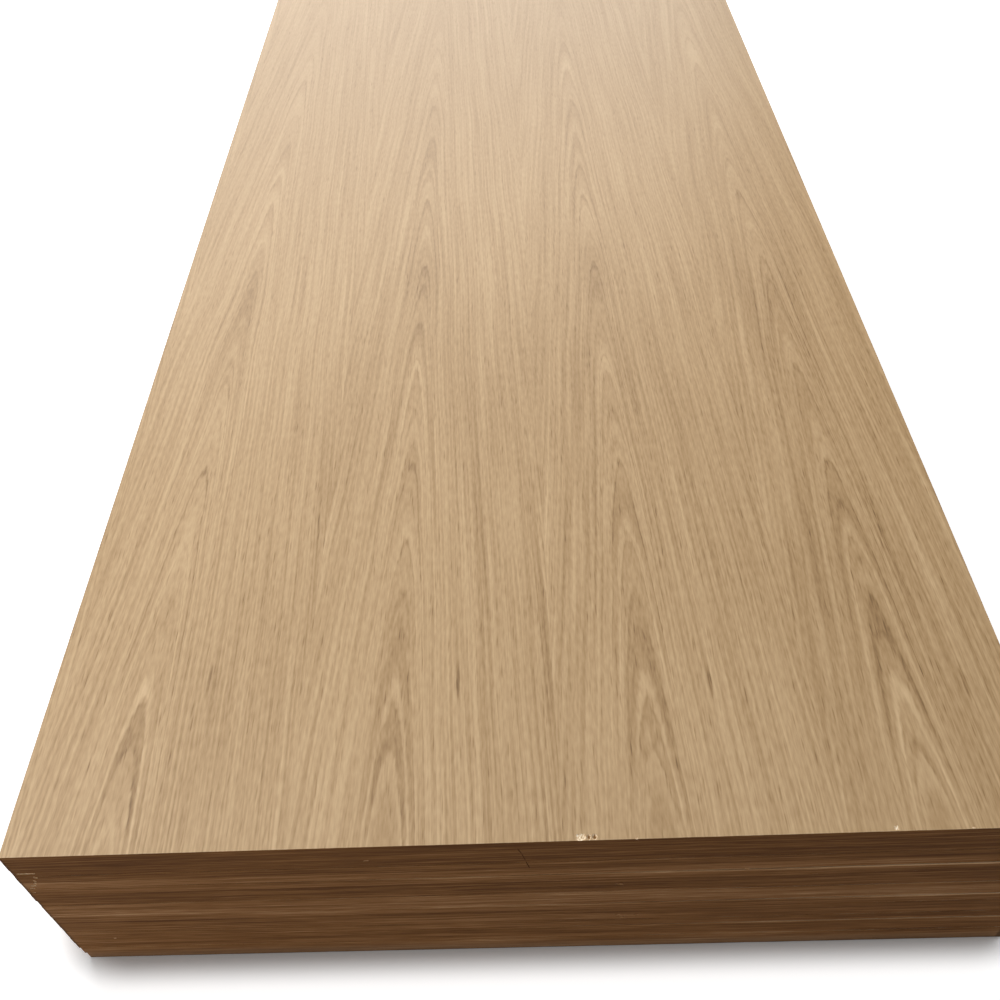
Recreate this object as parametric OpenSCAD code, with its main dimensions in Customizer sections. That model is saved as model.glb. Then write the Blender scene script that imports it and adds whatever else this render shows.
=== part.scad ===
// Stack of veneered plywood sheets, squared up by hand and lying flat.
// Millimetres, +Z up. X runs across the sheets and Y along their face grain, with the front at -Y.
// The origin is the middle of the top sheet's place, on the floor. Sheets are counted from the floor.

/* [Sheet] */
// Length of a sheet, along its face grain
sheet_length = 2440; // [600:10:3660]
// Width of a sheet
sheet_width = 1220; // [300:10:1830]
// Thickness of a sheet
sheet_thickness = 18; // [3:0.5:40]
// Width of the bevel that trimming and sanding leave along each arris
arris = 0.3; // [0.1:0.1:1.2]

/* [Stack] */
// Number of sheets
sheet_count = 18; // [1:1:60]
// Sheets that stand proud of the one above at the front right corner, as do those below them
proud_sheets = [13, 8, 4]; // [1:1:60]
// How far each of them stands proud
proud_step = 0.8; // [0:0.1:6]
// Sheets that are set back under the one above at the front left corner, as are those below them
shy_sheets = [11, 7]; // [1:1:60]
// How far each of them is set back
shy_step = 0.5; // [0:0.1:6]
// How far the lowest sheet has slid to the right
low_slide = 5; // [0:0.5:20]
// Number of sheets, from the lowest upwards, that have slid
slid_sheets = 2; // [1:1:6]
// Furthest that any sheet strays from its place as it is laid down
stray = 0.2; // [0:0.1:3]

/* [Hidden] */
// Turn from one sheet's stray to the next, so that no two neighbours stray the same way
stray_turn = 137.5;

function sheet_name(number) = str("sheet_", number < 10 ? "0" : "", number);

// Number of listed sheets from this one upwards
function steps_down_to(number, listed) = len([for (first = listed) if (first >= number) first]);

function proud_of(number) = proud_step * steps_down_to(number, proud_sheets);

function shy_of(number) = shy_step * steps_down_to(number, shy_sheets);

function slide_of(number) = low_slide * max(0, 1 - (number - 1) / slid_sheets);

function stray_of(number) = stray * [cos(stray_turn * number), sin(stray_turn * number)];

// Rectangle about the origin with its four corners cut back by the bevel
module bevelled_rectangle(wide, high) {
    corner_signs = [[1, 1], [-1, 1], [-1, -1], [1, -1]];
    polygon([
        for (sign = corner_signs, first = [true, false]) let (
            cut_across = (sign.x * sign.y > 0) != first
        ) [
            sign.x * (wide / 2 - (cut_across ? arris : 0)),
            sign.y * (high / 2 - (cut_across ? 0 : arris))
        ]
    ]);
}

// One sheet about the middle of its underside, with a bevel on all twelve arrises
module board() {
    intersection() {
        linear_extrude(sheet_thickness) bevelled_rectangle(sheet_width, sheet_length);
        translate([0, 0, sheet_thickness / 2]) rotate([90, 0, 0])
            linear_extrude(sheet_length, center = true) bevelled_rectangle(sheet_width, sheet_thickness);
        translate([0, 0, sheet_thickness / 2]) rotate([90, 0, 90])
            linear_extrude(sheet_width, center = true) bevelled_rectangle(sheet_length, sheet_thickness);
    }
}

// One sheet in its place in the stack: turned about the middle of its front so that its front corners
// stand proud on the right and shy on the left, then slid and strayed
module sheet(number) {
    front_middle = [0, -sheet_length / 2, 0];
    turn = -asin((proud_of(number) + shy_of(number)) / sheet_width);
    shift = [slide_of(number), (shy_of(number) - proud_of(number)) / 2] + stray_of(number);
    color("burlywood")
        translate([shift.x, shift.y, (number - 1) * sheet_thickness])
        translate(front_middle) rotate(turn) translate(-front_middle)
        board();
}

for (number = [1 : sheet_count])
    sheet(number);
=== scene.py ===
"""A squared stack of veneered plywood sheets, lying flat on a white studio floor."""

import math

import bmesh
import bpy
import numpy as np
from mathutils import Euler, Matrix, Vector, noise


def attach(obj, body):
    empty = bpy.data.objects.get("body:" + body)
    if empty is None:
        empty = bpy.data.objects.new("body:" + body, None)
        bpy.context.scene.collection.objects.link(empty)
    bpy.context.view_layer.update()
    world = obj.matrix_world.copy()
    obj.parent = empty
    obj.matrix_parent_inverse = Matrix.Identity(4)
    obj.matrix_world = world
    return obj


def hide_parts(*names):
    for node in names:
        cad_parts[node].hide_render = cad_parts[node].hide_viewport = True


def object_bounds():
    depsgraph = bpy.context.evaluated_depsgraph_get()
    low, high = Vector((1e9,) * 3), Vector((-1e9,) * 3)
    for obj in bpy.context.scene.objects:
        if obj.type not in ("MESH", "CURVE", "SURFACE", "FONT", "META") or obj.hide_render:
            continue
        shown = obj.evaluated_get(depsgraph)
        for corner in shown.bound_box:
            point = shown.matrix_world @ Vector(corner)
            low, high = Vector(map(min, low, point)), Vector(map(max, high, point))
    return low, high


MM = 0.001

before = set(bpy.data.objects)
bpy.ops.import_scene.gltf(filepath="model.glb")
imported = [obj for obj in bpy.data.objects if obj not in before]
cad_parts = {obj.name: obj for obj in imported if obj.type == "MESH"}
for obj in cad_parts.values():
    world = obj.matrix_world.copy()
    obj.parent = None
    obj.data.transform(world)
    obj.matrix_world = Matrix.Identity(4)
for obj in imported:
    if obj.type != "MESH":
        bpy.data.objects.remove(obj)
cad_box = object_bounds()
sheet_nodes = sorted(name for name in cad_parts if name.startswith("sheet_"))

# One sheet, in metres
SHEET_WIDTH = 1220 * MM
SHEET_LENGTH = 2440 * MM
SHEET_THICKNESS = 18 * MM
PLIES = 13
ARRIS = 0.3 * MM
PLY_RELIEF = 0.1 * MM
GLUE_LINE = 0.12 * MM
EDGE_WEAR = 0.3 * MM
EDGE_PITCH = 9 * MM
UNWORN_CORNER = 2 * MM
WELD = 0.01 * MM
STACK_TOP = cad_box[1].z
FRONT = -SHEET_LENGTH / 2

# Tone of each sheet's edge, where 1 is the usual brown: some sheets were cut paler than others, and the
# lowest sheets are paler partly as painted light that makes up for shade near the floor
EDGE_TONES = {
    18: 0.80, 17: 0.88, 16: 0.82, 15: 0.92, 14: 1.16, 13: 1.02, 12: 0.90, 11: 0.93, 10: 1.15,
    9: 1.17, 8: 1.02, 7: 0.96, 6: 1.01, 5: 1.05, 4: 1.02, 3: 1.05, 2: 1.11, 1: 1.14,
}
PLY_TONE = 0.42
PLY_WAVE = 2.2 * MM
# Sheets that stand proud at the right, and how strong the painted highlight is along the lip there, where
# their upper arris catches light
LIP_HIGHLIGHT = {13: 1.0, 8: 0.8, 4: 0.6}
# Sheets with a painted shadow along the upper arris at the left, under the overhang of the sheet above: most
# of all those that are set back there
OVERHANG_SHADE = {12: 0.8, 11: 1.0, 7: 0.9, 4: 0.4}

# Face veneer: leaves cut one after another from the same tapering log, laid side by side
LEAF_WIDTH = 318 * MM
FIRST_SEAM = -593 * MM
CROWN_FROM_SEAM = 115 * MM
# The second and third leaves were laid a little to the right: the first value, less the second for each leaf
# counted, times the leaf's number
LEAF_ASIDE = 11.7 * MM
LEAF_ASIDE_LOSS = 4 * MM
# The cut passes the log's pith at this depth, and the arches are blunter by this much towards the front end
PITH_DEPTH = 20 * MM
FRONT_BLUNTNESS = 4 * MM
# The log tapers, leans and lies askew by this much, and bends aside this far
TAPER = 0.0475
LEAN = 0.004
ASKEW = 0.22
LOG_BEND = 9 * MM
# Each leaf's figure lies this much nearer the front than the last one's
LEAF_SHIFT = 14 * MM
# Spacing of the growth rings on the legs of the arches, and how far the rings are lumpy and feathered
RING_PITCH = 6.5 * MM
RING_LUMPS = 1.6 * MM
RING_FEATHER = 0.7 * MM
# Arches of the crown: where the tip lies from the front end of the sheet, how far the dark wood reaches
# inside it, how dark that is at the tip and at its inner end, and how pale the outline is
ARCHES = [
    (122 * MM, 70 * MM, -0.1, 0, 0), (185 * MM, 68 * MM, 0.14, 0.3, 0.26),
    (347 * MM, 110 * MM, 0.2, 0.08, 0.1), (300 * MM, 24 * MM, 0.14, 0, 0),
    (442 * MM, 14 * MM, 0.31, 0, 0.08), (522 * MM, 30 * MM, 0.12, 0, 0.04),
    (599 * MM, 26 * MM, 0.41, 0.04, 0.05), (649 * MM, 16 * MM, 0.31, 0, 0.06),
    (726 * MM, 18 * MM, 0.12, 0, 0.04), (803 * MM, 26 * MM, 0.36, 0.04, 0.05),
    (846 * MM, 12 * MM, 0.24, 0, 0.06), (948 * MM, 24 * MM, 0.12, 0, 0.05),
    (1048 * MM, 24 * MM, 0.24, 0, 0.06), (1103 * MM, 26 * MM, 0.29, 0.04, 0.08),
    (1203 * MM, 24 * MM, 0.19, 0, 0.06), (1332 * MM, 36 * MM, 0.29, 0.06, 0.1),
    (1460 * MM, 30 * MM, 0.26, 0.04, 0.08), (1588 * MM, 36 * MM, 0.17, 0.02, 0.05),
    (1736 * MM, 36 * MM, 0.24, 0.04, 0.08), (1904 * MM, 36 * MM, 0.24, 0.04, 0.08),
    (2052 * MM, 36 * MM, 0.19, 0.02, 0.06),
]
PALE_OUTLINE = 48 * MM
FURTHEST_ARCH = 2200 * MM
ARCH_STEPS = 240
# A dark fleck in each leaf: its place across from the crown line and along from the front end, and its size
FLECK_PLACE = (74 * MM, 224 * MM)
FLECK_SIZE = (6 * MM, 60 * MM)
# Tone of plain veneer, and the strength of the figure near the front and at the far end
VENEER_TONE = 0.47
FIGURE_NEAR = 1.04
FIGURE_FAR = 0.62

# Damage at the front. Veneer broken out of the top sheet's arris: place across, middle's distance from the
# front end, width, length, depth, and how round the hollow is
BROKEN_VENEER = [
    (63 * MM, 4 * MM, 11 * MM, 7.6 * MM, 0.8 * MM, 0.5),
    (72 * MM, 4 * MM, 5.4 * MM, 7.2 * MM, 1.8 * MM, 1.0),
    (78.6 * MM, 4 * MM, 6 * MM, 7 * MM, 1.8 * MM, 1.0),
    (125.6 * MM, 0.8 * MM, 3 * MM, 2 * MM, 0.8 * MM, 0.5),
    (414.6 * MM, 4 * MM, 5 * MM, 5 * MM, 0.8 * MM, 0.5),
    (498.4 * MM, 1.5 * MM, 3 * MM, 2.4 * MM, 0.8 * MM, 0.5),
]
# Depths below the top face between which a hollow turns dark: a painted shade at the bottom of the pits
HOLLOW_DARK_FROM = 1.1 * MM
HOLLOW_DARK_AT = 1.6 * MM
# Tears at the left corner, bruises and a hairline crack: place across, height, the mark's width and height,
# and its lean
TEARS = [
    (-593.5 * MM, 278.5 * MM, 23 * MM, 2.8 * MM, 0), (-585.6 * MM, 268 * MM, 5 * MM, 3 * MM, 35),
    (-590 * MM, 257.5 * MM, 2.4 * MM, 6 * MM, -10), (-592.5 * MM, 250 * MM, 5 * MM, 2.4 * MM, 0),
    (-597 * MM, 243.5 * MM, 7 * MM, 2.6 * MM, -3), (-600.5 * MM, 236 * MM, 6 * MM, 2.6 * MM, 5),
    (-603 * MM, 224 * MM, 4 * MM, 2 * MM, 0),
]
BRUISES = [
    (109.5 * MM, 201.5 * MM, 9 * MM, 3 * MM, 0), (133.5 * MM, 103 * MM, 5 * MM, 2.8 * MM, 0),
    (110.5 * MM, 105 * MM, 5 * MM, 2.2 * MM, 0), (115.5 * MM, 98 * MM, 7 * MM, 2.2 * MM, 0),
    (511.3 * MM, 83 * MM, 4 * MM, 2.8 * MM, 0), (259 * MM, 235 * MM, 6 * MM, 2.4 * MM, 0),
    (-550.4 * MM, 68 * MM, 5 * MM, 2.8 * MM, 0), (-186.4 * MM, 287 * MM, 6 * MM, 2.6 * MM, 0),
]
CRACK = [
    (-7.3 * MM, 301.5 * MM, 1 * MM, 14 * MM, -17), (-3 * MM, 284.5 * MM, 1 * MM, 18 * MM, -11),
    (1 * MM, 264.5 * MM, 1 * MM, 18 * MM, -12),
]
TEAR_DEPTH = 1.6 * MM
BRUISE_DEPTH = 1.0 * MM
CRACK_DEPTH = 0.8 * MM

# A sheet's map, in pixels: the gap around its strips, and the height of the strips for the top, the
# underside, the front, the back, the left and the right
MAP_SIZE = 1024
MAP_GAP = 6
TOP_SHEET_STRIPS = [676, 110, 46, 46, 46, 46]
LOWER_SHEET_STRIPS = [90, 90, 200, 200, 200, 200]

# Light
WORLD_LIGHT = 0.14
OVERHEAD_LIGHT = 0.25
BACK_WATTS = 240
LEFT_WATTS = 72
BEAM_WATTS = 0.9
FRONT_WATTS = 25
# The floor's own glow, which keeps it white: at the stack's outline, and from a distance outside it. The glow
# is weaker near the outline, which paints a shadow round the stack. The outline is taken with round corners.
# At the left, distance counts from inside the stack, and for less
FLOOR_SIZE = 60.0
GLOW_BESIDE = 0.102
FLOOR_GLOW = 0.7
GLOW_FROM = 44 * MM
GLOW_ROUND = 60 * MM
GLOW_INSET_LEFT = 73 * MM
GLOW_SLOPE_LEFT = 0.7

# Camera, from the photograph: the picture is taken as 1000 pixels square
PICTURE = 1000
FOCAL_PIXELS = 1047.1
SENSOR = 36
CAMERA_PLACE = (19.4 * MM, -1733.5 * MM, 1502.4 * MM)
CAMERA_TURN = (46.403, 3.751, -0.098)
OPTICAL_CENTRE = (474.9, 401.5)


def rgb(red, green, blue):
    """A colour given in the 0 to 255 numbers of a picture, as the linear colour that shaders take."""
    def linear(value):
        part = value / 255
        return part / 12.92 if part <= 0.04045 else ((part + 0.055) / 1.055) ** 2.4
    return (linear(red), linear(green), linear(blue), 1.0)


def add_node(tree, kind, inputs=None, **settings):
    """A new node with its settings, and its inputs set to values or linked to sockets."""
    made = tree.nodes.new(kind)
    for name, value in settings.items():
        setattr(made, name, value)
    for name, value in (inputs or {}).items():
        socket = made.inputs[name]
        if isinstance(value, bpy.types.NodeSocket):
            tree.links.new(value, socket)
        else:
            socket.default_value = value
    return made


class Sums:
    """Short names for the maths nodes of one tree. Each call returns the output socket."""

    def __init__(self, tree):
        self.tree = tree

    def maths(self, operation, *values):
        made = add_node(self.tree, "ShaderNodeMath", dict(enumerate(values)), operation=operation)
        return made.outputs[0]

    def add(self, *values):
        total = values[0]
        for value in values[1:]:
            total = self.maths("ADD", total, value)
        return total

    def times(self, a, b):
        return self.maths("MULTIPLY", a, b)

    def less(self, a, b):
        return self.maths("SUBTRACT", a, b)

    def weighted(self, *parts):
        """The sum of (value, weight) parts."""
        return self.add(*(self.times(value, weight) for value, weight in parts))

    def vector(self, x=0.0, y=0.0, z=0.0):
        return add_node(self.tree, "ShaderNodeCombineXYZ", {"X": x, "Y": y, "Z": z}).outputs[0]

    def stretched(self, *parts):
        """A point whose x, y and z are given as (value, scale)."""
        return self.vector(*(self.times(value, scale) for value, scale in parts))

    def ramp(self, value, low, high, to_low=0.0, to_high=1.0, smooth=False):
        made = add_node(self.tree, "ShaderNodeMapRange", {
            "Value": value, "From Min": low, "From Max": high, "To Min": to_low, "To Max": to_high,
        }, interpolation_type="SMOOTHSTEP" if smooth else "LINEAR")
        return made.outputs[0]

    def noise(self, vector, detail=2.0, roughness=0.5):
        """Noise from 0 to 1, about 0.5 in the middle."""
        return add_node(self.tree, "ShaderNodeTexNoise", {
            "Vector": vector, "Scale": 1.0, "Detail": detail, "Roughness": roughness,
        }).outputs[0]

    def swing(self, vector, detail=2.0, roughness=0.5):
        """Noise from -1 to 1."""
        return self.ramp(self.noise(vector, detail, roughness), 0.0, 1.0, -1.0, 1.0)

    def colours(self, factor, stops):
        """A colour ramp with (place, colour) stops."""
        made = add_node(self.tree, "ShaderNodeValToRGB", {"Fac": factor})
        elements = made.color_ramp.elements
        while len(elements) < len(stops):
            elements.new(1.0)
        for element, (place, colour) in zip(elements, stops):
            element.position = place
            element.color = colour
        return made.outputs[0]

    def levels(self, factor, stops):
        """A ramp of plain values with (place, value) stops."""
        return self.colours(factor, [(place, (value, value, value, 1.0)) for place, value in stops])

    def mixed(self, factor, first, second):
        """The first colour, going over to the second as the factor goes from 0 to 1."""
        made = add_node(self.tree, "ShaderNodeMix", {
            "Factor": factor, "A": first, "B": second,
        }, data_type="RGBA")
        return made.outputs["Result"]


def new_material(name):
    """A material with an empty Principled shader, its tree and the shader's node."""
    material = bpy.data.materials.new(name)
    material.use_nodes = True
    tree = material.node_tree
    shader = next(n for n in tree.nodes if n.type == "BSDF_PRINCIPLED")
    return material, tree, shader


def place_parts(tree):
    """The x, y and z of a point on the object."""
    place = add_node(tree, "ShaderNodeTexCoord").outputs["Object"]
    parts = add_node(tree, "ShaderNodeSeparateXYZ", {"Vector": place})
    return parts.outputs["X"], parts.outputs["Y"], parts.outputs["Z"]


def add_bump(tree, shader, height, strength, distance):
    """Relief too fine for the mesh."""
    bump = add_node(tree, "ShaderNodeBump", {"Strength": strength, "Distance": distance, "Height": height})
    tree.links.new(bump.outputs[0], shader.inputs["Normal"])


def arch_tone(tip_place):
    """How much darker or paler the wood is on the crown line, this far from the front end."""
    total = 0.0
    for tip, reach, tip_dark, inner_dark, pale in ARCHES:
        inside = tip - tip_place
        if 0 <= inside < reach:
            total += tip_dark + (inner_dark - tip_dark) * inside / reach
        if 0 < -inside < PALE_OUTLINE:
            total -= pale * math.sin(math.pi * (-inside / PALE_OUTLINE) ** 0.7)
    return total


def crown_arches(tree, sums, radius):
    """The arches' tone from the distance to the pith."""
    share = sums.times(radius, 1 / (FURTHEST_ARCH * TAPER))
    curve = add_node(tree, "ShaderNodeFloatCurve", {"Value": share})
    points = curve.mapping.curves[0].points
    while len(points) < ARCH_STEPS + 1:
        points.new(0.5, 0.5)
    for number, point in enumerate(points):
        point.location = (number / ARCH_STEPS, 0.5 + arch_tone(number / ARCH_STEPS * FURTHEST_ARCH))
        point.handle_type = "VECTOR"
    curve.mapping.update()
    return sums.less(curve.outputs[0], 0.5)


def veneer_material():
    """Sanded, unfinished crown-cut veneer in slip-matched leaves."""
    material, tree, shader = new_material("crown_cut_veneer")
    sums = Sums(tree)
    x, y, z = place_parts(tree)

    # Place on the leaf: across from its crown line, along from the front end, and which leaf it is
    from_seam = sums.less(x, FIRST_SEAM)
    leaf = sums.maths("FLOOR", sums.times(from_seam, 1 / LEAF_WIDTH))
    along = sums.less(y, FRONT)
    across = sums.less(sums.less(from_seam, sums.times(leaf, LEAF_WIDTH)), CROWN_FROM_SEAM)
    across = sums.less(across, sums.times(along, LEAN))
    aside = sums.times(leaf, sums.less(LEAF_ASIDE, sums.times(leaf, LEAF_ASIDE_LOSS)))
    across = sums.less(across, aside)
    slice_number = sums.add(leaf, sums.times(z, 40.0))

    # The log's own bends, nearly the same in every leaf that was cut from it
    bend = sums.swing(sums.vector(sums.times(along, 2.5), sums.times(slice_number, 0.05), 4.0), detail=1.0)
    across = sums.add(across, sums.times(bend, LOG_BEND))
    lumps = sums.swing(sums.stretched((across, 24.0), (along, 7.0), (slice_number, 0.25)))
    feather = sums.swing(sums.stretched((across, 260.0), (along, 60.0), (slice_number, 1.0)), detail=1.0)

    # Distance from the pith, less the taper of the log: it is the same all along one growth ring
    off_crown = sums.maths("ABSOLUTE", across)
    slant = sums.maths("SQRT", sums.add(sums.times(across, across), PITH_DEPTH * PITH_DEPTH))
    blunt = sums.times(
        sums.ramp(along, 0.12, 0.6, FRONT_BLUNTNESS, 0.0), sums.ramp(off_crown, 0.0, 28 * MM, smooth=True)
    )
    radius = sums.add(
        sums.less(sums.less(slant, PITH_DEPTH), blunt), sums.times(across, ASKEW), sums.times(along, TAPER),
        sums.times(leaf, LEAF_SHIFT * TAPER), sums.times(lumps, RING_LUMPS),
        sums.times(feather, RING_FEATHER),
    )
    arches = crown_arches(tree, sums, radius)
    arches = sums.times(arches, sums.ramp(off_crown, 18 * MM, 60 * MM, 1.0, 0.15))
    broken_up = sums.noise(sums.stretched((across, 100.0), (along, 22.0), (slice_number, 3.0)))
    arches = sums.times(arches, sums.ramp(broken_up, 0.36, 0.64, 0.5, 1.3))

    # Growth rings on the arches' legs, each one of its own strength, paler at its start than at its end
    rings = sums.times(radius, 1 / RING_PITCH)
    ring_number = sums.maths("FLOOR", rings)
    strength = add_node(tree, "ShaderNodeTexWhiteNoise", {"W": ring_number}, noise_dimensions="1D").outputs[0]
    legs = sums.levels(sums.maths("FRACT", rings), [
        (0.0, 0.0), (0.3, 0.3), (0.6, 0.55), (0.82, 0.8), (0.93, 1.0), (1.0, 0.0),
    ])
    legs = sums.times(sums.less(legs, 0.5), sums.ramp(strength, 0.0, 1.0, 0.1, 1.0))
    legs = sums.times(legs, sums.ramp(off_crown, 12 * MM, 45 * MM, 0.25, 1.0))

    # Streaks along the rings, from broad and long to fine and short
    broad = sums.swing(sums.stretched((radius, 75.0), (along, 1.3), (slice_number, 0.3)), detail=1.0)
    coarse = sums.swing(sums.stretched((radius, 250.0), (along, 3.4), (slice_number, 0.6)), detail=3.0)
    hair = sums.swing(sums.stretched((radius, 1000.0), (along, 16.0), (slice_number, 1.0)), detail=2.0)
    grit = sums.swing(sums.stretched((across, 330.0), (along, 62.0), (slice_number, 1.0)), detail=1.0)
    cloud = sums.swing(sums.stretched((x, 3.0), (y, 1.4), (z, 1.0)), detail=2.0)

    # A dark fleck that every leaf has in the same place
    fleck_across = sums.times(sums.less(across, FLECK_PLACE[0]), 2 / FLECK_SIZE[0])
    fleck_along = sums.add(along, sums.times(leaf, LEAF_SHIFT), -FLECK_PLACE[1])
    fleck_along = sums.times(fleck_along, 2 / FLECK_SIZE[1])
    off_fleck = sums.add(sums.times(fleck_across, fleck_across), sums.times(fleck_along, fleck_along))
    fleck = sums.ramp(off_fleck, 0.0, 1.0, 1.0, 0.0, smooth=True)

    # Pores: short dashes along the grain, in some cells only
    cells = add_node(tree, "ShaderNodeTexVoronoi", {
        "Vector": sums.stretched((across, 330.0), (along, 27.0), (slice_number, 7.0)),
        "Scale": 1.0, "Randomness": 1.0,
    })
    chance = add_node(tree, "ShaderNodeSeparateColor", {"Color": cells.outputs["Color"]}).outputs[0]
    dash = sums.times(
        sums.ramp(cells.outputs["Distance"], 0.1, 0.45, 1.0, 0.0, smooth=True), sums.ramp(chance, 0.45, 1.0)
    )

    # The figure is quieter towards the far end
    figure = sums.weighted(
        (arches, 1.0), (legs, 0.12), (broad, 0.2), (coarse, 0.47), (hair, 0.05), (cloud, 0.12), (dash, 0.32),
        (grit, 0.23), (fleck, 0.4),
    )
    tone = sums.add(VENEER_TONE, sums.times(figure, sums.ramp(along, 0.3, 1.7, FIGURE_NEAR, FIGURE_FAR)))
    colour = sums.colours(tone, [
        (0.0, rgb(204, 174, 133)), (0.35, rgb(186, 155, 114)), (0.6, rgb(169, 137, 95)),
        (0.8, rgb(149, 117, 76)), (1.0, rgb(123, 92, 54)),
    ])

    # Rims that stand proud of the sheet above go dark brown at the left, and pale at the right: a painted
    # highlight where the proud ledges catch light
    rim = sums.ramp(sums.maths("ABSOLUTE", y), 1219.6 * MM, 1220.4 * MM, 0.0, 0.9)
    wear_and_rim_highlight = sums.colours(sums.ramp(x, -0.15, 0.5, smooth=True), [
        (0.0, rgb(122, 90, 60)), (1.0, rgb(238, 214, 182)),
    ])
    tree.links.new(sums.mixed(rim, colour, wear_and_rim_highlight), shader.inputs["Base Color"])
    shader.inputs["Roughness"].default_value = 0.48
    shader.inputs["Specular IOR Level"].default_value = 0.5
    add_bump(tree, shader, sums.weighted((dash, -1.0), (hair, -0.25), (legs, -0.2)), 0.15, 0.1 * MM)
    return material


def ply_edge_material():
    """Sawn ply edges: dark brown, streaked along the sheet, every second ply a little darker."""
    material, tree, shader = new_material("sawn_ply_edge")
    sums = Sums(tree)
    x, y, z = place_parts(tree)
    sheet_tone, rubbed, stained = (
        add_node(tree, "ShaderNodeAttribute", attribute_name=name).outputs["Fac"]
        for name in ("edge_tone", "rubbed", "stained")
    )

    # Plies and streaks
    wave = sums.swing(sums.stretched((x, 7.0), (y, 7.0), (z, 12.0)), detail=2.0)
    wavy_z = sums.add(z, sums.times(wave, PLY_WAVE))
    plies = sums.maths("FRACT", sums.times(z, PLIES / SHEET_THICKNESS / 2))
    cross_ply = sums.ramp(sums.maths("ABSOLUTE", sums.less(plies, 0.5)), 0.2, 0.3, 1.0, 0.0, smooth=True)
    streak = sums.swing(sums.stretched((x, 5.0), (y, 5.0), (wavy_z, 330.0)), detail=3.0, roughness=0.6)
    thread = sums.swing(sums.stretched((x, 22.0), (y, 22.0), (wavy_z, 1000.0)), detail=2.0)
    band = sums.swing(sums.stretched((x, 1.6), (y, 1.6), (z, 42.0)), detail=1.0)
    grit = sums.swing(sums.stretched((x, 900.0), (y, 900.0), (z, 1400.0)), detail=1.0)
    pattern = sums.weighted((streak, 0.8), (thread, 0.4), (band, 0.3), (grit, 0.06), (cross_ply, -0.08))

    # The lip's pale band, a painted highlight where a proud sheet's upper arris catches light, and a painted
    # shadow under the overhang of the sheet above: both at the upper arris, and broken by the streaks. The
    # band is stronger to the right and the shadow to the left
    up_sheet = sums.maths("FRACT", sums.times(z, 1 / SHEET_THICKNESS))
    lip = sums.times(
        sums.ramp(up_sheet, 0.76, 0.92, smooth=True), sums.ramp(x, -0.25, 0.4, 0.1, 1.0, smooth=True)
    )
    lip_breaks = sums.ramp(sums.add(streak, sums.times(thread, 0.5)), -0.5, 0.4, 0.35, 1.0)
    lip = sums.times(sums.times(lip, rubbed), lip_breaks)
    # Painted shadow under the overhang of the sheet above, strongest at the left
    overhang_shadow = sums.times(
        sums.ramp(up_sheet, 0.66, 0.9, smooth=True), sums.ramp(x, -0.25, 0.3, 1.0, 0.0, smooth=True)
    )
    overhang_shadow_breaks = sums.ramp(sums.add(streak, sums.times(wave, 0.8)), -0.5, 0.5, 1.0, 0.3)
    overhang_shadow = sums.times(sums.times(overhang_shadow, stained), overhang_shadow_breaks)

    # Painted shade: the edges are a little darker towards the right
    painted_shade_to_right = sums.ramp(x, -0.15, 0.6)
    painted_light_and_shade = sums.weighted((lip, 0.75), (overhang_shadow, -0.5), (painted_shade_to_right, -0.1))
    tone = sums.add(PLY_TONE, pattern, sums.less(sheet_tone, 1.0), painted_light_and_shade)
    colour = sums.colours(tone, [
        (0.0, rgb(95, 61, 34)), (0.35, rgb(127, 86, 48)), (0.6, rgb(148, 105, 66)),
        (0.85, rgb(172, 131, 92)), (1.0, rgb(200, 160, 118)),
    ])

    # Painted light on the lowest sheets, greyer and paler towards the white floor below them; the upright
    # corners darker, and a painted contact shadow along the lowest arris
    floor_bounce_light = sums.ramp(z, 4 * MM, 34 * MM, 0.25, 0.0, smooth=True)
    corner = sums.times(
        sums.ramp(sums.maths("ABSOLUTE", x), 605 * MM, 609 * MM, smooth=True),
        sums.ramp(sums.maths("ABSOLUTE", y), 1212 * MM, 1218 * MM, smooth=True),
    )
    dark_corners_and_contact_shadow = sums.maths("MAXIMUM", corner, sums.ramp(z, 0.5 * MM, 3.5 * MM, 1.0, 0.0, smooth=True))
    colour = sums.mixed(floor_bounce_light, colour, rgb(158, 138, 116))
    colour = sums.mixed(sums.times(dark_corners_and_contact_shadow, 0.6), colour, rgb(62, 44, 28))
    tree.links.new(colour, shader.inputs["Base Color"])
    tree.links.new(sums.ramp(tone, 0.0, 1.0, 0.8, 0.65), shader.inputs["Roughness"])
    shader.inputs["Specular IOR Level"].default_value = 0.06
    add_bump(tree, shader, sums.weighted((streak, 1.0), (thread, 0.5), (grit, 0.3)), 0.5, 0.3 * MM)
    return material


def broken_wood_material(name, dark, middle, pale, hollow=None):
    """Rough wood where a chip has broken away. Hollows in the top face may go darker with depth, a painted
    shade.
    """
    material, tree, shader = new_material(name)
    sums = Sums(tree)
    x, y, z = place_parts(tree)
    fibre = sums.noise(sums.stretched((x, 600.0), (y, 400.0), (z, 900.0)), detail=3.0)
    colour = sums.colours(fibre, [(0.32, dark), (0.5, middle), (0.66, pale)])
    if hollow:
        # Painted shade: darker towards the bottom of the hollow
        pit_shade = sums.ramp(z, STACK_TOP - HOLLOW_DARK_AT, STACK_TOP - HOLLOW_DARK_FROM, 1.0, 0.0, smooth=True)
        colour = sums.mixed(pit_shade, colour, hollow)
    tree.links.new(colour, shader.inputs["Base Color"])
    tree.links.new(sums.ramp(fibre, 0.0, 1.0, 0.75, 0.95), shader.inputs["Roughness"])
    shader.inputs["Specular IOR Level"].default_value = 0.1
    add_bump(tree, shader, fibre, 0.5, 0.3 * MM)
    return material


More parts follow.
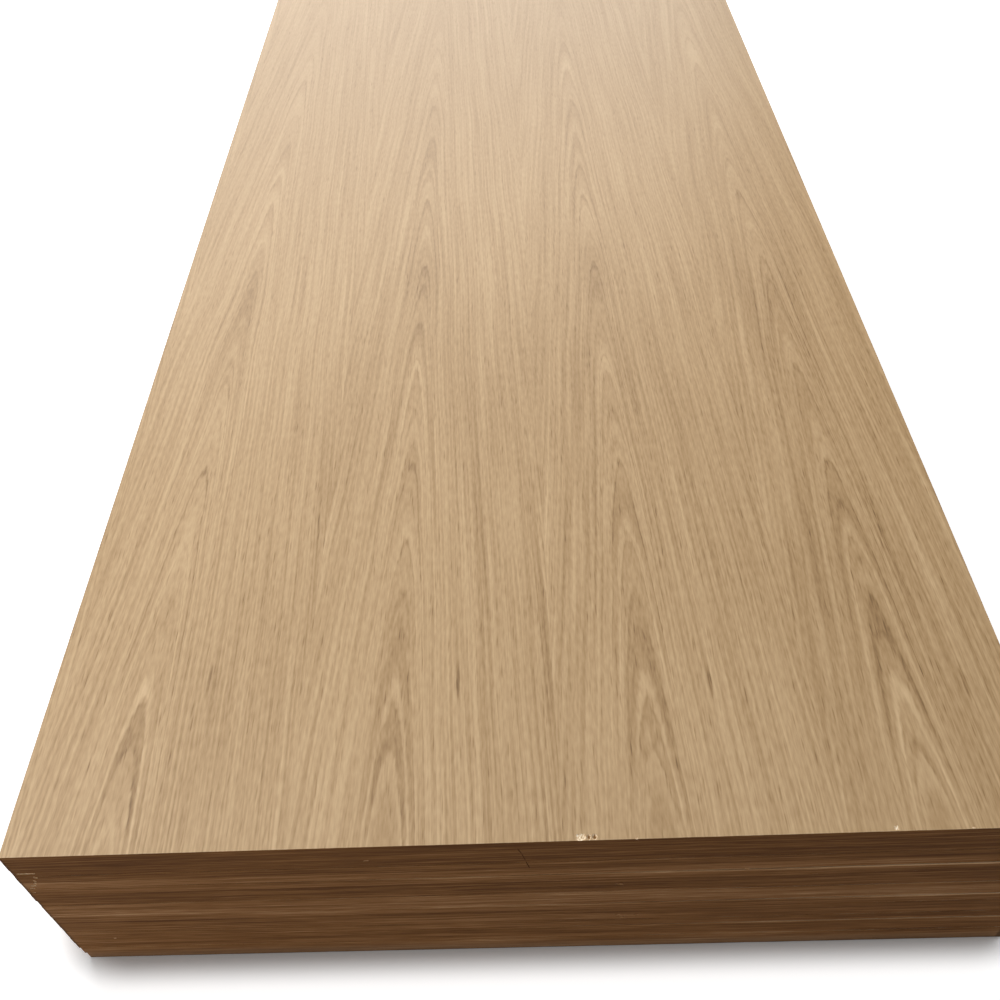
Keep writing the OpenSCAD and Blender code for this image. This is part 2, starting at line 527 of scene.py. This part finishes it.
def plywood_sheet_tree():
    """Geometry Nodes for one sheet: a ply-stepped edge swept round its outline, closed by two faces."""
    tree = bpy.data.node_groups.new("plywood_sheet", "GeometryNodeTree")
    sockets = {
        "Width": "NodeSocketFloat", "Length": "NodeSocketFloat", "Thickness": "NodeSocketFloat",
        "Plies": "NodeSocketInt", "Arris": "NodeSocketFloat", "Ply Relief": "NodeSocketFloat",
        "Glue Line": "NodeSocketFloat", "Wear": "NodeSocketFloat", "Pitch": "NodeSocketFloat",
        "Place": "NodeSocketVector", "Turn": "NodeSocketVector", "Seed": "NodeSocketFloat",
        "Edge Tone": "NodeSocketFloat", "Rubbed": "NodeSocketFloat", "Stained": "NodeSocketFloat",
        "Face": "NodeSocketMaterial", "Edge": "NodeSocketMaterial",
    }
    for name, kind in sockets.items():
        tree.interface.new_socket(name, in_out="INPUT", socket_type=kind)
    tree.interface.new_socket("Sheet", in_out="OUTPUT", socket_type="NodeSocketGeometry")
    given = tree.nodes.new("NodeGroupInput").outputs
    sums = Sums(tree)

    def step(kind, inputs=None, **settings):
        """A new node's first output."""
        return add_node(tree, kind, inputs, **settings).outputs[0]

    # Outline: a rectangle with small corner cuts, its long runs divided at the pitch
    outline = step("GeometryNodeCurvePrimitiveQuadrilateral", {
        "Width": given["Width"], "Height": given["Length"],
    })
    outline = step("GeometryNodeFilletCurve", {
        "Curve": outline, "Radius": given["Arris"], "Count": 2,
    }, mode="POLY")
    index = step("GeometryNodeInputIndex")
    place = step("GeometryNodeInputPosition")
    points = add_node(tree, "GeometryNodeAttributeDomainSize", {"Geometry": outline}, component="CURVE")
    following = sums.maths("FLOORED_MODULO", sums.add(index, 1.0), points.outputs["Point Count"])
    ahead = add_node(
        tree, "GeometryNodeFieldAtIndex", {"Index": following}, data_type="FLOAT_VECTOR", domain="POINT"
    )
    tree.links.new(place, ahead.inputs["Value"])
    run = add_node(tree, "ShaderNodeVectorMath", {0: place, 1: ahead.outputs[0]}, operation="DISTANCE")
    cuts = sums.maths("FLOOR", sums.maths("DIVIDE", run.outputs["Value"], given["Pitch"]))
    outline = step("GeometryNodeSubdivideCurve", {"Curve": outline, "Cuts": cuts})
    outline = step("GeometryNodeSetCurveNormal", {"Curve": outline}, mode="Z_UP")

    # Profile: up the edge from the lower face to the upper one, with every second ply set back and a bevel
    # at each end
    last = sums.add(sums.times(given["Plies"], 2.0), 1.0)
    profile = step("GeometryNodeMeshLine", {"Count": sums.add(last, 1.0)})
    ply = sums.maths("DIVIDE", given["Thickness"], given["Plies"])
    odd = sums.maths("FLOORED_MODULO", index, 2.0)
    level = sums.add(
        sums.times(sums.maths("FLOOR", sums.times(index, 0.5)), ply),
        sums.times(given["Glue Line"], sums.less(odd, 0.5)),
    )
    highest = sums.less(given["Thickness"], given["Arris"])
    level = sums.maths("MINIMUM", sums.maths("MAXIMUM", level, given["Arris"]), highest)
    at_foot = sums.maths("COMPARE", index, 0.0, 0.1)
    at_head = sums.maths("COMPARE", index, last, 0.1)
    at_end = sums.add(at_foot, at_head)
    between = sums.less(1.0, at_end)
    level = sums.add(sums.times(level, between), sums.times(at_head, given["Thickness"]))
    ply_number = sums.maths("FLOOR", sums.times(sums.less(index, 1.0), 0.5))
    set_back = sums.maths("FLOORED_MODULO", ply_number, 2.0)
    relief = sums.times(sums.times(set_back, given["Ply Relief"]), between)
    inset = sums.add(relief, sums.times(at_end, given["Arris"]))
    profile = step("GeometryNodeSetPosition", {
        "Geometry": profile, "Position": sums.vector(sums.times(inset, -1.0), sums.times(level, -1.0), 0.0),
    })
    profile = step("GeometryNodeMeshToCurve", {"Mesh": profile})
    edge = step("GeometryNodeCurveToMesh", {"Curve": outline, "Profile Curve": profile})
    edge = step("GeometryNodeFlipFaces", {"Mesh": edge})

    # Wear: plies eased back a little, unevenly along the edge, but not at the four corners
    wander = step("ShaderNodeVectorMath", {0: place, 1: (45.0, 45.0, 700.0)}, operation="MULTIPLY")
    rough = step("ShaderNodeTexNoise", {
        "Vector": wander, "W": given["Seed"], "Scale": 1.0, "Detail": 2.0,
    }, noise_dimensions="4D")
    spot = add_node(tree, "ShaderNodeSeparateXYZ", {"Vector": place}).outputs
    by_side = sums.add(sums.maths("ABSOLUTE", spot["X"]), sums.times(given["Width"], -0.5))
    by_end = sums.add(sums.maths("ABSOLUTE", spot["Y"]), sums.times(given["Length"], -0.5))
    off_corner = sums.maths("LESS_THAN", sums.maths("MINIMUM", by_side, by_end), -UNWORN_CORNER)
    wear_and_rim_highlight = sums.times(sums.times(sums.ramp(rough, 0.45, 0.8), given["Wear"]), off_corner)
    normal = step("GeometryNodeInputNormal")
    inward = step("ShaderNodeVectorMath", {0: normal, 1: (-1.0, -1.0, 0.0)}, operation="MULTIPLY")
    inward = step("ShaderNodeVectorMath", {0: inward, "Scale": wear_and_rim_highlight}, operation="SCALE")
    edge = step("GeometryNodeSetPosition", {"Geometry": edge, "Offset": inward})
    edge = step("GeometryNodeSetMaterial", {"Geometry": edge, "Material": given["Edge"]})

    # Faces: the edge's two open rims, filled
    neighbours = step("GeometryNodeInputMeshEdgeNeighbors")
    open_rim = step("FunctionNodeCompare", {"A": neighbours, "B": 1}, data_type="INT", operation="EQUAL")
    upper = sums.maths("GREATER_THAN", spot["Z"], sums.times(given["Thickness"], 0.5))
    faces = []
    for is_top in (True, False):
        half = upper if is_top else sums.less(1.0, upper)
        rim = step("GeometryNodeMeshToCurve", {"Mesh": edge, "Selection": sums.times(open_rim, half)})
        filled = step("GeometryNodeFillCurve", {"Curve": rim}, mode="NGONS")
        lift = sums.vector(0.0, 0.0, given["Thickness"] if is_top else 0.0)
        filled = step("GeometryNodeTransform", {"Geometry": filled, "Translation": lift})
        if not is_top:
            filled = step("GeometryNodeFlipFaces", {"Mesh": filled})
        faces.append(step("GeometryNodeSetMaterial", {"Geometry": filled, "Material": given["Face"]}))
    whole = tree.nodes.new("GeometryNodeJoinGeometry")
    for part in (*reversed(faces), edge):
        tree.links.new(part, whole.inputs[0])
    whole = step("GeometryNodeMergeByDistance", {"Geometry": whole.outputs[0], "Distance": WELD})
    for title in ("Edge Tone", "Rubbed", "Stained"):
        whole = step("GeometryNodeStoreNamedAttribute", {
            "Geometry": whole, "Name": title.lower().replace(" ", "_"), "Value": given[title],
        }, data_type="FLOAT", domain="FACE")
    whole = step("GeometryNodeTransform", {
        "Geometry": whole, "Translation": given["Place"], "Rotation": given["Turn"],
    })
    whole = step("GeometryNodeRealizeInstances", {"Geometry": whole})
    out = tree.nodes.new("NodeGroupOutput")
    tree.links.new(whole, out.inputs[0])
    return tree


def cad_place(node):
    """A CAD sheet's middle on its underside, and its turn about the vertical."""
    corners = np.unique(np.round([tuple(v.co) for v in node.data.vertices], 7), axis=0)
    middle = (corners.min(axis=0) + corners.max(axis=0)) / 2
    on_right = corners[:, 0] > middle[0]
    on_left = corners[:, 0] < middle[0]
    right = corners[on_right].mean(axis=0) - corners[on_left].mean(axis=0)
    return Vector((middle[0], middle[1], corners[:, 2].min())), math.atan2(right[1], right[0])


def link(piece):
    bpy.context.scene.collection.objects.link(piece)
    return piece


def plain_mesh(piece):
    """Turns a piece's modifiers into its own mesh."""
    graph = bpy.context.evaluated_depsgraph_get()
    made = bpy.data.meshes.new_from_object(piece.evaluated_get(graph))
    piece.modifiers.clear()
    piece.data = made


def make_sheet(name, tree, face, edge, broken):
    """One sheet of the stack, in the place of its CAD node."""
    number = int(name.rsplit("_", 1)[1])
    place, turn = cad_place(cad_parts[name])
    sheet = link(bpy.data.objects.new(f"plywood_{name}", bpy.data.meshes.new(f"plywood_{name}")))
    modifier = sheet.modifiers.new("plywood_sheet", "NODES")
    modifier.node_group = tree
    values = {
        "Width": SHEET_WIDTH, "Length": SHEET_LENGTH, "Thickness": SHEET_THICKNESS, "Plies": PLIES,
        "Arris": ARRIS, "Ply Relief": PLY_RELIEF, "Glue Line": GLUE_LINE, "Wear": EDGE_WEAR,
        "Pitch": EDGE_PITCH, "Place": tuple(place), "Turn": (0.0, 0.0, turn), "Seed": float(number),
        "Edge Tone": EDGE_TONES[number], "Rubbed": LIP_HIGHLIGHT.get(number, 0.0),
        "Stained": OVERHANG_SHADE.get(number, 0.0), "Face": face, "Edge": edge,
    }
    for item in tree.interface.items_tree:
        if item.in_out == "INPUT":
            modifier[item.identifier] = values[item.name]
    plain_mesh(sheet)
    break_sheet(sheet, place.z, broken)
    lay_out_map(sheet, place, turn, face, name == sheet_nodes[-1])
    sheet.data.shade_flat()
    return sheet


def add_gouge(cutter, place, size, lean, seed, slot, roundness=0.5):
    """Adds an uneven lump to the cutter that takes it out of a sheet."""
    lump = bmesh.ops.create_icosphere(cutter, subdivisions=3, radius=0.5)["verts"]
    for vert in lump:
        unevenness = 1 + 0.2 * noise.noise(vert.co * 5 + Vector((7.3 * seed, 0.0, 0.0)))
        vert.co = [math.copysign(abs(2 * part) ** roundness, part) / 2 * unevenness for part in vert.co]
    turn = Euler((0.0, math.radians(lean), 0.0))
    bmesh.ops.transform(cutter, matrix=Matrix.LocRotScale(Vector(place), turn, Vector(size)), verts=lump)
    for face in {face for vert in lump for face in vert.link_faces}:
        face.material_index = slot


def break_sheet(sheet, foot, broken):
    """Cuts the front's damage out of a sheet that stands on this height."""
    cutter = bmesh.new()
    head = foot + SHEET_THICKNESS
    if head > STACK_TOP - SHEET_THICKNESS / 2:
        for seed, (across, back, wide, long, depth, roundness) in enumerate(BROKEN_VENEER):
            add_gouge(cutter, (across, FRONT + back, head), (wide, long, 2 * depth), 0, seed, 0, roundness)
    for slot, marks, depth in ((1, TEARS, TEAR_DEPTH), (2, BRUISES, BRUISE_DEPTH), (3, CRACK, CRACK_DEPTH)):
        for count, (across, height, wide, tall, lean) in enumerate(marks):
            if foot - tall < height < head + tall:
                seed = 20 + 10 * slot + count
                add_gouge(cutter, (across, FRONT, height), (wide, 2 * depth, tall), lean, seed, slot)
    if cutter.verts:
        mesh = bpy.data.meshes.new("gouges")
        cutter.to_mesh(mesh)
        for material in broken:
            mesh.materials.append(material)
        gouges = link(bpy.data.objects.new("gouges", mesh))
        modifier = sheet.modifiers.new("damage", "BOOLEAN")
        modifier.operation = "DIFFERENCE"
        modifier.solver = "EXACT"
        modifier.material_mode = "TRANSFER"
        modifier.object = gouges
        plain_mesh(sheet)
        bpy.data.objects.remove(gouges)
    cutter.free()


def lay_out_map(sheet, place, turn, face, is_top):
    """A map with a strip for each side of the sheet: the face in view gets most room, or else the edges."""
    mesh = sheet.data
    layer = mesh.uv_layers.new(name="OFBake")
    spots = np.empty(len(mesh.vertices) * 3)
    mesh.vertices.foreach_get("co", spots)
    cos, sin = math.cos(turn), math.sin(turn)
    turned = np.array([[cos, -sin, 0.0], [sin, cos, 0.0], [0.0, 0.0, 1.0]])
    spots = (spots.reshape(-1, 3) - np.array(place)) @ turned
    corners = np.empty(len(mesh.loops), dtype=int)
    mesh.loops.foreach_get("vertex_index", corners)
    count = len(mesh.polygons)
    normals, middles = np.empty(count * 3), np.empty(count * 3)
    totals, slots = np.empty(count, dtype=int), np.empty(count, dtype=int)
    mesh.polygons.foreach_get("normal", normals)
    mesh.polygons.foreach_get("center", middles)
    mesh.polygons.foreach_get("loop_total", totals)
    mesh.polygons.foreach_get("material_index", slots)
    facing_up = normals.reshape(-1, 3)[:, 2]
    middles = (middles.reshape(-1, 3) - np.array(place)) @ turned

    # Which side each face belongs to: top, underside, front, back, left or right. Broken wood in the top face
    # belongs to the top
    from_left, from_front = middles[:, 0] + SHEET_WIDTH / 2, middles[:, 1] + SHEET_LENGTH / 2
    from_right, from_back = SHEET_WIDTH / 2 - middles[:, 0], SHEET_LENGTH / 2 - middles[:, 1]
    side = 2 + np.stack([from_front, from_back, from_left, from_right]).argmin(axis=0)
    flat = slots == mesh.materials.find(face.name)
    flat |= (np.abs(facing_up) > 0.7) & (middles[:, 2] > SHEET_THICKNESS - 1 * MM) & (slots > 1)
    side = np.where(flat, np.where(facing_up > 0, 0, 1), side)

    strips = TOP_SHEET_STRIPS if is_top else LOWER_SHEET_STRIPS
    foot = np.cumsum([MAP_GAP] + [strip + MAP_GAP for strip in strips[:-1]])
    side = np.repeat(side, totals)
    spots = spots[corners]
    across = (spots[:, 0] / SHEET_WIDTH + 0.5).clip(0, 1)
    along = (spots[:, 1] / SHEET_LENGTH + 0.5).clip(0, 1)
    up = (spots[:, 2] / SHEET_THICKNESS).clip(0, 1)
    u = np.where(side >= 4, along, across)
    v = np.where(side <= 1, along, up)
    u = (MAP_GAP + u * (MAP_SIZE - 2 * MAP_GAP)) / MAP_SIZE
    v = (foot[side] + v * np.array(strips)[side]) / MAP_SIZE
    layer.data.foreach_set("uv", np.stack([u, v], axis=1).ravel())


def make_floor():
    """A white floor that stays white in the picture and keeps the stack's shadow, with a painted shadow near
    the stack where its glow is weaker.
    """
    bpy.ops.mesh.primitive_plane_add(size=FLOOR_SIZE, location=(0.0, 0.0, 0.0))
    floor = bpy.context.object
    floor.name = "studio_floor"
    material, tree, shader = new_material("studio_white")
    shader.inputs["Base Color"].default_value = (0.95, 0.95, 0.95, 1.0)
    shader.inputs["Roughness"].default_value = 0.9
    shader.inputs["Specular IOR Level"].default_value = 0.0
    shader.inputs["Emission Color"].default_value = (1.0, 1.0, 1.0, 1.0)
    ray = add_node(tree, "ShaderNodeLightPath").outputs
    sums = Sums(tree)
    seen = sums.maths("MAXIMUM", ray["Is Glossy Ray"], ray["Is Transmission Ray"])
    seen = sums.maths("MAXIMUM", ray["Is Camera Ray"], seen)
    # How far a point lies outside the stack's outline, with its corners taken as round
    x, y, _ = place_parts(tree)
    left = sums.maths("MAXIMUM", sums.less(cad_box[0].x + GLOW_INSET_LEFT, x), 0.0)
    right = sums.maths("MAXIMUM", sums.less(x, cad_box[1].x), 0.0)
    beside = sums.add(sums.times(left, GLOW_SLOPE_LEFT), right)
    before = sums.maths("MAXIMUM", sums.less(sums.maths("ABSOLUTE", y), cad_box[1].y - GLOW_ROUND), 0.0)
    away = sums.maths("SQRT", sums.add(sums.times(beside, beside), sums.times(before, before)))
    # Weaker glow near the stack: a painted shadow round its outline
    glow = sums.ramp(away, GLOW_ROUND, GLOW_ROUND + GLOW_FROM, GLOW_BESIDE, FLOOR_GLOW, smooth=True)
    tree.links.new(sums.times(seen, glow), shader.inputs["Emission Strength"])
    floor.data.materials.append(material)


def add_lamp(name, width, depth, place, aim, watts):
    """A rectangular lamp that lights the stack without being seen."""
    lamp = bpy.data.lights.new(name, "AREA")
    lamp.shape = "RECTANGLE"
    lamp.size = width
    lamp.size_y = depth
    lamp.energy = watts
    made = link(bpy.data.objects.new(name, lamp))
    made.location = place
    made.rotation_euler = (Vector(aim) - Vector(place)).to_track_quat("-Z", "Y").to_euler()
    made.visible_camera = False
    return made


def make_light(lit_alone):
    """Soft studio light: overhead, from panels behind, at the left, above and low in front, and all round."""
    world = bpy.data.worlds.new("studio")
    bpy.context.scene.world = world
    world.use_nodes = True
    tree = world.node_tree
    background = next(n for n in tree.nodes if n.type == "BACKGROUND")
    background.inputs["Color"].default_value = (1.0, 1.0, 1.0, 1.0)
    ray = add_node(tree, "ShaderNodeLightPath").outputs
    # The surround is dim as a light, but white in the picture
    strength = Sums(tree).ramp(ray["Is Camera Ray"], 0.0, 1.0, WORLD_LIGHT, 1.0)
    tree.links.new(strength, background.inputs["Strength"])
    sun = bpy.data.lights.new("overhead", "SUN")
    sun.energy = OVERHEAD_LIGHT * math.pi
    sun.angle = math.radians(10)
    overhead = link(bpy.data.objects.new("overhead", sun))
    overhead.rotation_euler = (math.radians(-5), math.radians(4), 0.0)
    add_lamp("back_panel", 6.4, 3.6, (-1.2, 4.4, 2.3), (0.0, 0.2, STACK_TOP), BACK_WATTS)
    left = add_lamp("left_panel", 2.2, 3.0, (-2.2, -0.6, 2.8), (0.0, -0.6, STACK_TOP), LEFT_WATTS)
    beam = add_lamp("beam_panel", 0.8, 0.8, (0.5, 0.1, 2.9), (0.45, 0.1, STACK_TOP), BEAM_WATTS)
    beam.data.spread = math.radians(55)
    front = add_lamp("front_panel", 2.0, 1.0, (-2.4, -3.2, 0.6), (-0.5, FRONT, 0.1), FRONT_WATTS)
    # These three are flagged off the floor, so that it keeps the stack's shadow
    for lamp in (left, beam, front):
        lamp.light_linking.receiver_collection = lit_alone


def make_camera():
    data = bpy.data.cameras.new("camera")
    data.sensor_width = SENSOR
    data.lens = FOCAL_PIXELS * SENSOR / PICTURE
    data.shift_x = (PICTURE / 2 - OPTICAL_CENTRE[0]) / PICTURE
    data.shift_y = (OPTICAL_CENTRE[1] - PICTURE / 2) / PICTURE
    data.clip_start = 0.05
    data.clip_end = 100.0
    camera = link(bpy.data.objects.new("camera", data))
    camera.location = CAMERA_PLACE
    camera.rotation_euler = [math.radians(angle) for angle in CAMERA_TURN]
    bpy.context.scene.camera = camera


bpy.context.scene.view_settings.view_transform = "Standard"
sheets = bpy.data.collections.new("sheets")
make_camera()
make_light(sheets)
make_floor()

veneer = veneer_material()
ply_edge = ply_edge_material()
# Hollows in the broken veneer go darker with depth: painted shade
broken_veneer = broken_wood_material(
    "broken_veneer", rgb(186, 154, 114), rgb(232, 206, 170), rgb(255, 244, 222), hollow=rgb(132, 98, 60)
)
torn_fibre = broken_wood_material(
    "torn_fibre", rgb(206, 178, 142), rgb(236, 212, 180), rgb(250, 232, 206)
)
bruised_edge = broken_wood_material(
    "bruised_edge", rgb(176, 136, 96), rgb(206, 168, 126), rgb(226, 192, 152)
)
broken_wood = (broken_veneer, torn_fibre, bruised_edge, ply_edge)
sheet_tree = plywood_sheet_tree()
for name in sheet_nodes:
    sheet = make_sheet(name, sheet_tree, veneer, ply_edge, broken_wood)
    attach(sheet, "root")
    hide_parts(name)
    sheets.objects.link(sheet)
